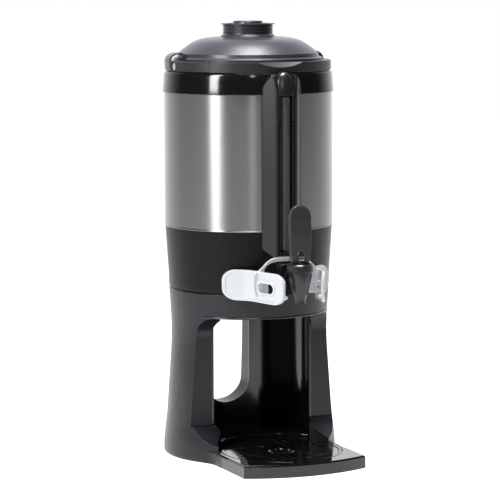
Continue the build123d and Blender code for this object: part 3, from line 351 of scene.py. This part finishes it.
def metal(name, colour, roughness, lines, depth, anisotropy=0.0):
    """Brushed steel with hairlines that run round the body's axis."""
    material, tree, shader = new_finish(name)
    brushed = placed(tree, brushed_round, Lines=lines, Roughness=roughness)
    tinted = put(tree, "ShaderNodeVectorMath", {"operation": "SCALE"}, _0=colour,
                 Scale=brushed.outputs["Shade"])
    tree.links.new(tinted.outputs[0], shader.inputs["Base Color"])
    tree.links.new(brushed.outputs["Roughness"], shader.inputs["Roughness"])
    shader.inputs["Metallic"].default_value = 1.0
    shader.inputs["Anisotropic"].default_value = anisotropy
    shader.inputs["Anisotropic Rotation"].default_value = ACROSS_THE_LINES
    bump = put(tree, "ShaderNodeBump", Strength=0.6, Distance=depth, Height=brushed.outputs["Height"])
    tree.links.new(bump.outputs[0], shader.inputs["Normal"])
    if anisotropy:
        around_axis = put(tree, "ShaderNodeTangent", {"direction_type": "RADIAL", "axis": "Z"})
        tree.links.new(around_axis.outputs[0], shader.inputs["Tangent"])
    return material


brushed_steel = metal("brushed steel", (0.23, 0.227, 0.223), 0.33, 2600, 0.000004, 0.94)
plain_steel = metal("plain steel", (0.56, 0.56, 0.56), 0.30, 700, 0.00001)

# %% [markdown]
# ### Clear plastics
# The level tube is clear and the shield before it is smoked. Both let light through, and a coarse
# grain keeps their gloss a little uneven.


# %% Clear plastics
ACRYLIC_IOR = 1.49


def clear_plastic(name, colour, grain, roughness, variation, clearness):
    """Plastic that light passes through, tinted by its colour."""
    material, tree, shader = new_finish(name)
    grained = placed(tree, moulded_grain, Scale=grain, Roughness=roughness, Variation=variation)
    tree.links.new(grained.outputs["Roughness"], shader.inputs["Roughness"])
    shader.inputs["Base Color"].default_value = (*colour, 1)
    shader.inputs["Transmission Weight"].default_value = clearness
    shader.inputs["IOR"].default_value = ACRYLIC_IOR
    return material


clear = clear_plastic("clear tube", (0.40, 0.41, 0.43), 120, 0.05, 0.04, 1.0)
smoked = clear_plastic("smoked shield", (0.22, 0.22, 0.24), 300, 0.20, 0.06, 0.8)
print("finishes:", len(bpy.data.materials))

# %% [markdown]
# ## Finishing the solid parts
# The solid parts keep their shapes. Each gets its finish, its loose triangles are welded by a
# modifier so that curved faces shade smoothly, and hard corners are kept by an edge split. The large
# mouldings that are seen up close also get a small radius on their corners.

# %% Solid parts
FINISHES = {
    stand_black: ["stand_shell"],
    satin_black: ["lower_housing", "bottom_cover", "base_plate",
                  "base_bosses", "flask_cradle", "neck_lock_ring"],
    column_black: ["column_housing", "gauge_cap"],
    dome_black: ["lid_dome", "brew_neck", "brew_funnel"],
    handle_black: ["handle_arms", "handle_grip"],
    gloss_black: ["stand_liner", "upper_collar"],
    tray_black: ["cavity_floor", "drip_tray", "drip_grille"],
    faucet_black: ["faucet_manifold", "coupling_nut", "faucet_body", "faucet_bonnet", "faucet_lever"],
    white_plastic: ["label_clip", "lid_liner", "valve_ball"],
    natural_plastic: ["mixing_tube"],
    rubber: ["foot_pads", "rest_ring", "flask_cushion", "jacket_rings", "outlet_gasket",
             "shank_washer", "tube_seals"],
    silicone: ["neck_seal", "lid_gasket", "neck_seal_ring", "faucet_seat"],
    float_red: ["gauge_float"],
    foam: ["lid_insulation"],
    brushed_steel: ["steel_jacket"],
    plain_steel: ["flask_outer", "flask_inner", "outlet_pipe", "faucet_stem", "lever_pin",
                  "handle_pins", "hinge_pin", "faucet_spring", "base_screws", "cover_screws",
                  "column_screws", "lid_screws", "shank_nut", "faucet_shank"],
    clear: ["sight_tube"],
}


WELD_DISTANCE = 0.00001
SHARP_ANGLE = radians(32)
ROUNDED_ANGLE = radians(35)
FLAT_ANGLE = radians(0.6)
SPLIT_ANGLE = radians(50)


def weld_solid(node):
    """Welds a solid part's loose triangles so that they can shade smoothly."""
    node.data.polygons.foreach_set("use_smooth", [True] * len(node.data.polygons))
    node.modifiers.new("weld", "WELD").merge_threshold = WELD_DISTANCE


def smooth_solid(node):
    """Shades curved faces smoothly and keeps sharp corners."""
    weld_solid(node)
    node.modifiers.new("corners", "EDGE_SPLIT").split_angle = SHARP_ANGLE


def soften_solid(node, width):
    """Rounds a solid part's corners by a small radius, as its mould would, and keeps flat faces flat."""
    weld_solid(node)
    flats = node.modifiers.new("flat faces", "DECIMATE")
    flats.decimate_type = "DISSOLVE"
    flats.angle_limit = FLAT_ANGLE
    rounding = node.modifiers.new("rounding", "BEVEL")
    rounding.width = width
    rounding.segments = 3
    rounding.limit_method = "ANGLE"
    rounding.angle_limit = ROUNDED_ANGLE
    rounding.use_clamp_overlap = True
    rounding.miter_outer = "MITER_ARC"
    node.modifiers.new("corners", "EDGE_SPLIT").split_angle = SPLIT_ANGLE
    node.modifiers.new("even shading", "WEIGHTED_NORMAL").keep_sharp = True


SOFTENED = {
    "handle_arms": 0.0006, "column_housing": 0.0005, "faucet_body": 0.0005, "stand_shell": 0.0010,
    "drip_tray": 0.0008, "lower_housing": 0.0007, "faucet_manifold": 0.0006,
}
for finish, names in FINISHES.items():
    for name in names:
        nodes[name].data.materials.clear()
        nodes[name].data.materials.append(finish)
        if name in SOFTENED:
            soften_solid(nodes[name], SOFTENED[name])
        else:
            smooth_solid(nodes[name])
left_out = sorted(set(nodes) - {n for names in FINISHES.values() for n in names})
print("solid parts finished:", len(nodes) - len(left_out), "left out:", left_out)

# %% [markdown]
# ## Pieces shaped by hand
# The solid model gives every part its place and its working faces. The next pieces take over where a
# moulded part has a softer or fuller shape than a solid model gives it. Most are built from a simple
# start shape and worked in edit mode, and the last two are softened copies of solid parts. Each one
# is bound to the body that it moves with.


# %% Helpers for modelling
DOUBLES_DISTANCE = 0.000002
ALL_SMOOTH = 180
CORNER_ANGLE = radians(30)


def only(piece):
    """Makes one object the active one and the only one selected."""
    bpy.ops.object.select_all(action="DESELECT")
    piece.select_set(True)
    bpy.context.view_layer.objects.active = piece


def open_whole(piece):
    """Opens a piece in edit mode with all of it selected."""
    only(piece)
    bpy.ops.object.mode_set(mode="EDIT")
    bpy.ops.mesh.select_all(action="SELECT")


def settle(piece):
    """Puts the piece's origin at the scene's origin with no turn or scale of its own."""
    only(piece)
    bpy.ops.object.transform_apply(location=True, rotation=True, scale=True)


def apply_modifier(piece, kind, **values):
    """Adds a modifier, sets it and applies it."""
    only(piece)
    made = piece.modifiers.new(kind.lower(), kind)
    for name, value in values.items():
        setattr(made, name, value)
    bpy.ops.object.modifier_apply(modifier=made.name)


def hand_over(piece, name, body, finish, angle=35):
    """Names and shades a finished piece, gives it its finish and binds it to its body."""
    open_whole(piece)
    bpy.ops.mesh.remove_doubles(threshold=DOUBLES_DISTANCE)
    bpy.ops.mesh.normals_make_consistent(inside=False)
    bpy.ops.object.mode_set(mode="OBJECT")
    bpy.ops.object.shade_smooth_by_angle(angle=radians(angle))
    if angle < ALL_SMOOTH:
        apply_modifier(piece, "WEIGHTED_NORMAL", keep_sharp=True)
    piece.name = name
    piece.data.materials.clear()
    piece.data.materials.append(finish)
    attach(piece, body)
    size = [round(x / MM, 1) for x in piece.dimensions]
    print(name, "faces:", len(piece.data.polygons), "size in mm:", size)


def place_profile(piece, radius, half_angle, height):
    """Stands a flat profile upright at one end of an arc round the body's axis."""
    start_angle = -pi / 2 - half_angle
    piece.rotation_euler = (pi / 2, 0, start_angle)
    piece.location = (radius * cos(start_angle), radius * sin(start_angle), height)
    settle(piece)


def spin_profile(piece, half_angle, steps):
    """Spins a profile round the body's axis to the other end of its arc."""
    open_whole(piece)
    bpy.ops.mesh.spin(steps=steps, angle=-2 * half_angle, center=(0, 0, 0), axis=(0, 0, 1))
    bpy.ops.object.mode_set(mode="OBJECT")


# %% [markdown]
# ### Handle grip
# The front of the bail handle is a flat ring with a wide scallop for the fingers. The scallop slopes
# outwards, so it catches the light from above. A flat profile is spun round the body, a large tilted
# cylinder is taken out of it, and the corners are rounded last.

# %% Handle grip
GRIP_INNER, GRIP_OUTER = 0.1007, 0.1121
GRIP_LOW, GRIP_HIGH = 0.5186, 0.5320
GRIP_HALF_ANGLE = radians(49.7)
grip_middle = (GRIP_INNER + GRIP_OUTER) / 2
bpy.ops.object.select_all(action="DESELECT")
bpy.ops.mesh.primitive_plane_add(size=1, location=(0, 0, 0))
grip = bpy.context.object
bpy.ops.object.mode_set(mode="EDIT")
bpy.ops.transform.resize(value=(GRIP_OUTER - GRIP_INNER, GRIP_HIGH - GRIP_LOW, 1))
bpy.ops.object.mode_set(mode="OBJECT")
place_profile(grip, grip_middle, GRIP_HALF_ANGLE, (GRIP_LOW + GRIP_HIGH) / 2)
spin_profile(grip, GRIP_HALF_ANGLE, 96)
open_whole(grip)
bpy.ops.mesh.normals_make_consistent(inside=False)
bpy.ops.object.mode_set(mode="OBJECT")
print("grip box:", [round(x, 4) for c in (grip.bound_box[0], grip.bound_box[6]) for x in c])

# %% Scallop in the grip
SCALLOP_CHORD, SCALLOP_DROP = 0.047, 0.0066
SCALLOP_SLOPE = radians(32)
CUTTER_LENGTH = 0.08
GRIP_ROUNDING = 0.0009
scallop_radius = (SCALLOP_CHORD ** 2 + SCALLOP_DROP ** 2) / (2 * SCALLOP_DROP)
normal = Vector((0, -sin(SCALLOP_SLOPE), cos(SCALLOP_SLOPE)))
on_floor = Vector((0, -GRIP_OUTER, GRIP_HIGH - SCALLOP_DROP))
bpy.ops.object.select_all(action="DESELECT")
bpy.ops.mesh.primitive_cylinder_add(vertices=360, radius=scallop_radius, depth=CUTTER_LENGTH,
                                    location=on_floor + normal * scallop_radius,
                                    rotation=(pi / 2 + SCALLOP_SLOPE, 0, 0))
cutter = bpy.context.object
apply_modifier(grip, "BOOLEAN", operation="DIFFERENCE", object=cutter, solver="EXACT")
bpy.data.objects.remove(cutter)
apply_modifier(grip, "BEVEL", width=GRIP_ROUNDING, segments=3, limit_method="ANGLE",
               angle_limit=CORNER_ANGLE)
hand_over(grip, "grip", "bail_handle", handle_black)
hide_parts("handle_grip")

# %% [markdown]
# ### Gauge shield
# A clear half-round shield protects the level tube. It is smoked a little, so the tube behind it
# reads as a dark line with a bright edge. A tube is cut in half, its two edges are drawn back to the
# channel's floor, and the wall is given its thickness.

# %% Gauge shield
SHIELD_RADIUS, SHIELD_WALL = 0.0074, 0.0008
SHIELD_LOW, SHIELD_HIGH = 0.2866, 0.4874
SHIELD_Y, CHANNEL_Y = -0.1203, -0.1168
CUT_SLACK, LONG_EDGE = 0.0001, 0.01
bpy.ops.object.select_all(action="DESELECT")
bpy.ops.mesh.primitive_cylinder_add(vertices=96, radius=SHIELD_RADIUS, depth=SHIELD_HIGH - SHIELD_LOW,
                                    end_fill_type="NOTHING",
                                    location=(0, SHIELD_Y, (SHIELD_LOW + SHIELD_HIGH) / 2))
shield = bpy.context.object
settle(shield)
open_whole(shield)
bpy.ops.mesh.bisect(plane_co=(0, SHIELD_Y, 0), plane_no=(0, 1, 0), clear_outer=True)
bpy.ops.mesh.select_all(action="DESELECT")
bpy.ops.object.mode_set(mode="OBJECT")
corners = shield.data.vertices
for edge in shield.data.edges:
    a, b = (corners[i].co for i in edge.vertices)
    edge.select = min(a.y, b.y) > SHIELD_Y - CUT_SLACK and abs(a.z - b.z) > LONG_EDGE
bpy.ops.object.mode_set(mode="EDIT")
bpy.ops.mesh.select_mode(type="EDGE")
bpy.ops.mesh.extrude_region_move(TRANSFORM_OT_translate={"value": (0, CHANNEL_Y - SHIELD_Y, 0)})
bpy.ops.mesh.select_mode(type="FACE")
bpy.ops.mesh.select_all(action="SELECT")
bpy.ops.mesh.normals_make_consistent(inside=False)
bpy.ops.object.mode_set(mode="OBJECT")
apply_modifier(shield, "SOLIDIFY", thickness=SHIELD_WALL, offset=-1)
hand_over(shield, "gauge_shield", "server", smoked)

# %% [markdown]
# ### Gauge rails
# Two slender rails stand beside the shield and guide the cap's prongs. Each is a long block with its
# edges rounded, so that it draws one fine line of light down the channel.


# %% Gauge rails
def rounded_block(low, high, width):
    """A block between two corners with its edges rounded."""
    bpy.ops.object.select_all(action="DESELECT")
    middle = [(a + b) / 2 for a, b in zip(low, high)]
    bpy.ops.mesh.primitive_cube_add(size=1, location=middle)
    made = bpy.context.object
    made.scale = [b - a for a, b in zip(low, high)]
    settle(made)
    apply_modifier(made, "BEVEL", width=width, segments=3)
    return made


RAIL_INNER, RAIL_OUTER = 0.0083, 0.0099
RAIL_FRONT, RAIL_BACK = -0.1276, -0.1170
RAIL_LOW, RAIL_HIGH = 0.2868, 0.4540
RAIL_ROUNDING = 0.0006
rails = [rounded_block((left, RAIL_FRONT, RAIL_LOW), (right, RAIL_BACK, RAIL_HIGH), RAIL_ROUNDING)
         for left, right in ((-RAIL_OUTER, -RAIL_INNER), (RAIL_INNER, RAIL_OUTER))]
only(rails[0])
rails[1].select_set(True)
bpy.ops.object.join()
hand_over(rails[0], "gauge_rails", "server", column_black)

# %% [markdown]
# ### Gauge cap
# The plug at the head of the gauge has a full, rounded front that shines at the top, two prongs that
# reach down the channel, and a stopper that sits in the tube. The front is a ball that is stretched
# and cut flat behind and below. The other members are blocks with rounded corners.

# %% Ball of the gauge cap
CAP_LOW, CAP_BACK, CAP_HALF_WIDTH = 0.4892, -0.1167, 0.0124
BALL_PLACE = (0, -0.1182, 0.4895)
BALL_HALF_SIZE = (0.0170, 0.0128, 0.0304)
BALL_ROUNDING = 0.0012


def cut_away(point, outwards):
    """Cuts the open piece by a plane, drops what lies outwards and closes the cut."""
    bpy.ops.mesh.select_all(action="SELECT")
    bpy.ops.mesh.bisect(plane_co=point, plane_no=outwards, clear_outer=True, use_fill=True)


bpy.ops.object.select_all(action="DESELECT")
bpy.ops.mesh.primitive_uv_sphere_add(segments=96, ring_count=48, radius=1, location=BALL_PLACE)
bulb = bpy.context.object
bulb.scale = BALL_HALF_SIZE
settle(bulb)
open_whole(bulb)
cut_away((0, 0, CAP_LOW), (0, 0, -1))
cut_away((0, CAP_BACK, 0), (0, 1, 0))
for side in (-1, 1):
    cut_away((side * CAP_HALF_WIDTH, 0, 0), (side, 0, 0))
bpy.ops.object.mode_set(mode="OBJECT")
apply_modifier(bulb, "BEVEL", width=BALL_ROUNDING, segments=4, limit_method="ANGLE",
               angle_limit=CORNER_ANGLE)
print("ball faces:", len(bulb.data.polygons))

# %% Plate, prongs and stopper of the gauge cap
PLATE_HALF_WIDTH, PLATE_FRONT, PLATE_HIGH, PLATE_ROUNDING = 0.0125, -0.1215, 0.5162, 0.0006
PRONG_X, PRONG_HALF_WIDTH, PRONG_ROUNDING = 0.0097, 0.0014, 0.0005
PRONG_FRONT, PRONG_BACK = -0.1272, -0.1180
PRONG_LOW, PRONG_HIGH = 0.456, 0.4912
STOPPER_RADIUS, STOPPER_LENGTH, STOPPER_ROUNDING = 0.0033, 0.0115, 0.0005
STOPPER_PLACE = (0, -0.1218, 0.4855)
plate = rounded_block((-PLATE_HALF_WIDTH, PLATE_FRONT, CAP_LOW),
                      (PLATE_HALF_WIDTH, CAP_BACK, PLATE_HIGH), PLATE_ROUNDING)
prongs = [rounded_block((x - PRONG_HALF_WIDTH, PRONG_FRONT, PRONG_LOW),
                        (x + PRONG_HALF_WIDTH, PRONG_BACK, PRONG_HIGH), PRONG_ROUNDING)
          for x in (-PRONG_X, PRONG_X)]
bpy.ops.object.select_all(action="DESELECT")
bpy.ops.mesh.primitive_cylinder_add(vertices=48, radius=STOPPER_RADIUS, depth=STOPPER_LENGTH,
                                    location=STOPPER_PLACE)
stopper = bpy.context.object
settle(stopper)
apply_modifier(stopper, "BEVEL", width=STOPPER_ROUNDING, segments=2, limit_method="ANGLE")
for member in (plate, *prongs, stopper):
    apply_modifier(bulb, "BOOLEAN", operation="UNION", object=member, solver="EXACT")
    bpy.data.objects.remove(member)
hand_over(bulb, "gauge_plug", "gauge_cap", column_black)
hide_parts("gauge_cap")

# %% [markdown]
# ### Lip of the stand
# Under the round band of the stand, the edge of the bay's roof is rolled into a small bead. Its round
# catches a fine bright line above the opening, and its finish is painted lighter than the stand's as a
# painted highlight. A small circle is spun round the body between the two legs.

# %% Lip of the stand
LIP_RADIUS, LIP_WIRE, LIP_Z = 0.1066, 0.0014, 0.1944
LIP_HALF_ANGLE = radians(58)
bpy.ops.object.select_all(action="DESELECT")
bpy.ops.mesh.primitive_circle_add(vertices=20, radius=LIP_WIRE, fill_type="NGON", location=(0, 0, 0))
lip = bpy.context.object
place_profile(lip, LIP_RADIUS, LIP_HALF_ANGLE, LIP_Z)
spin_profile(lip, LIP_HALF_ANGLE, 90)
hand_over(lip, "stand_lip", "stand", highlight_lip_black)

# %% [markdown]
# ### Paddle and label clip
# The lever's paddle and the white label clip are thin mouldings with soft, generous corners. A copy
# of each solid part is merged, remeshed into small even faces and relaxed, which rounds every corner
# the way a polished mould would. The paddle is relaxed far more than the clip, whose loops are thin.


# %% Soft copies
PADDLE_GRID, PADDLE_ROUNDS = 0.00045, 24
CLIP_GRID, CLIP_ROUNDS = 0.0005, 2


def soft_copy(node_name, grid, rounds):
    """A merged, remeshed and relaxed copy of a solid part."""
    made = nodes[node_name].copy()
    made.data = nodes[node_name].data.copy()
    made.modifiers.clear()
    made.parent = None
    bpy.context.scene.collection.objects.link(made)
    made.matrix_world = nodes[node_name].matrix_world
    settle(made)
    open_whole(made)
    bpy.ops.mesh.remove_doubles(threshold=WELD_DISTANCE)
    bpy.ops.object.mode_set(mode="OBJECT")
    apply_modifier(made, "REMESH", mode="VOXEL", voxel_size=grid)
    apply_modifier(made, "SMOOTH", factor=0.5, iterations=rounds)
    return made


paddle = soft_copy("faucet_lever", PADDLE_GRID, PADDLE_ROUNDS)
hand_over(paddle, "paddle", "faucet_lever", paddle_black, ALL_SMOOTH)
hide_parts("faucet_lever")
clip = soft_copy("label_clip", CLIP_GRID, CLIP_ROUNDS)
hand_over(clip, "clip", "label_clip", white_plastic, ALL_SMOOTH)
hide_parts("label_clip")
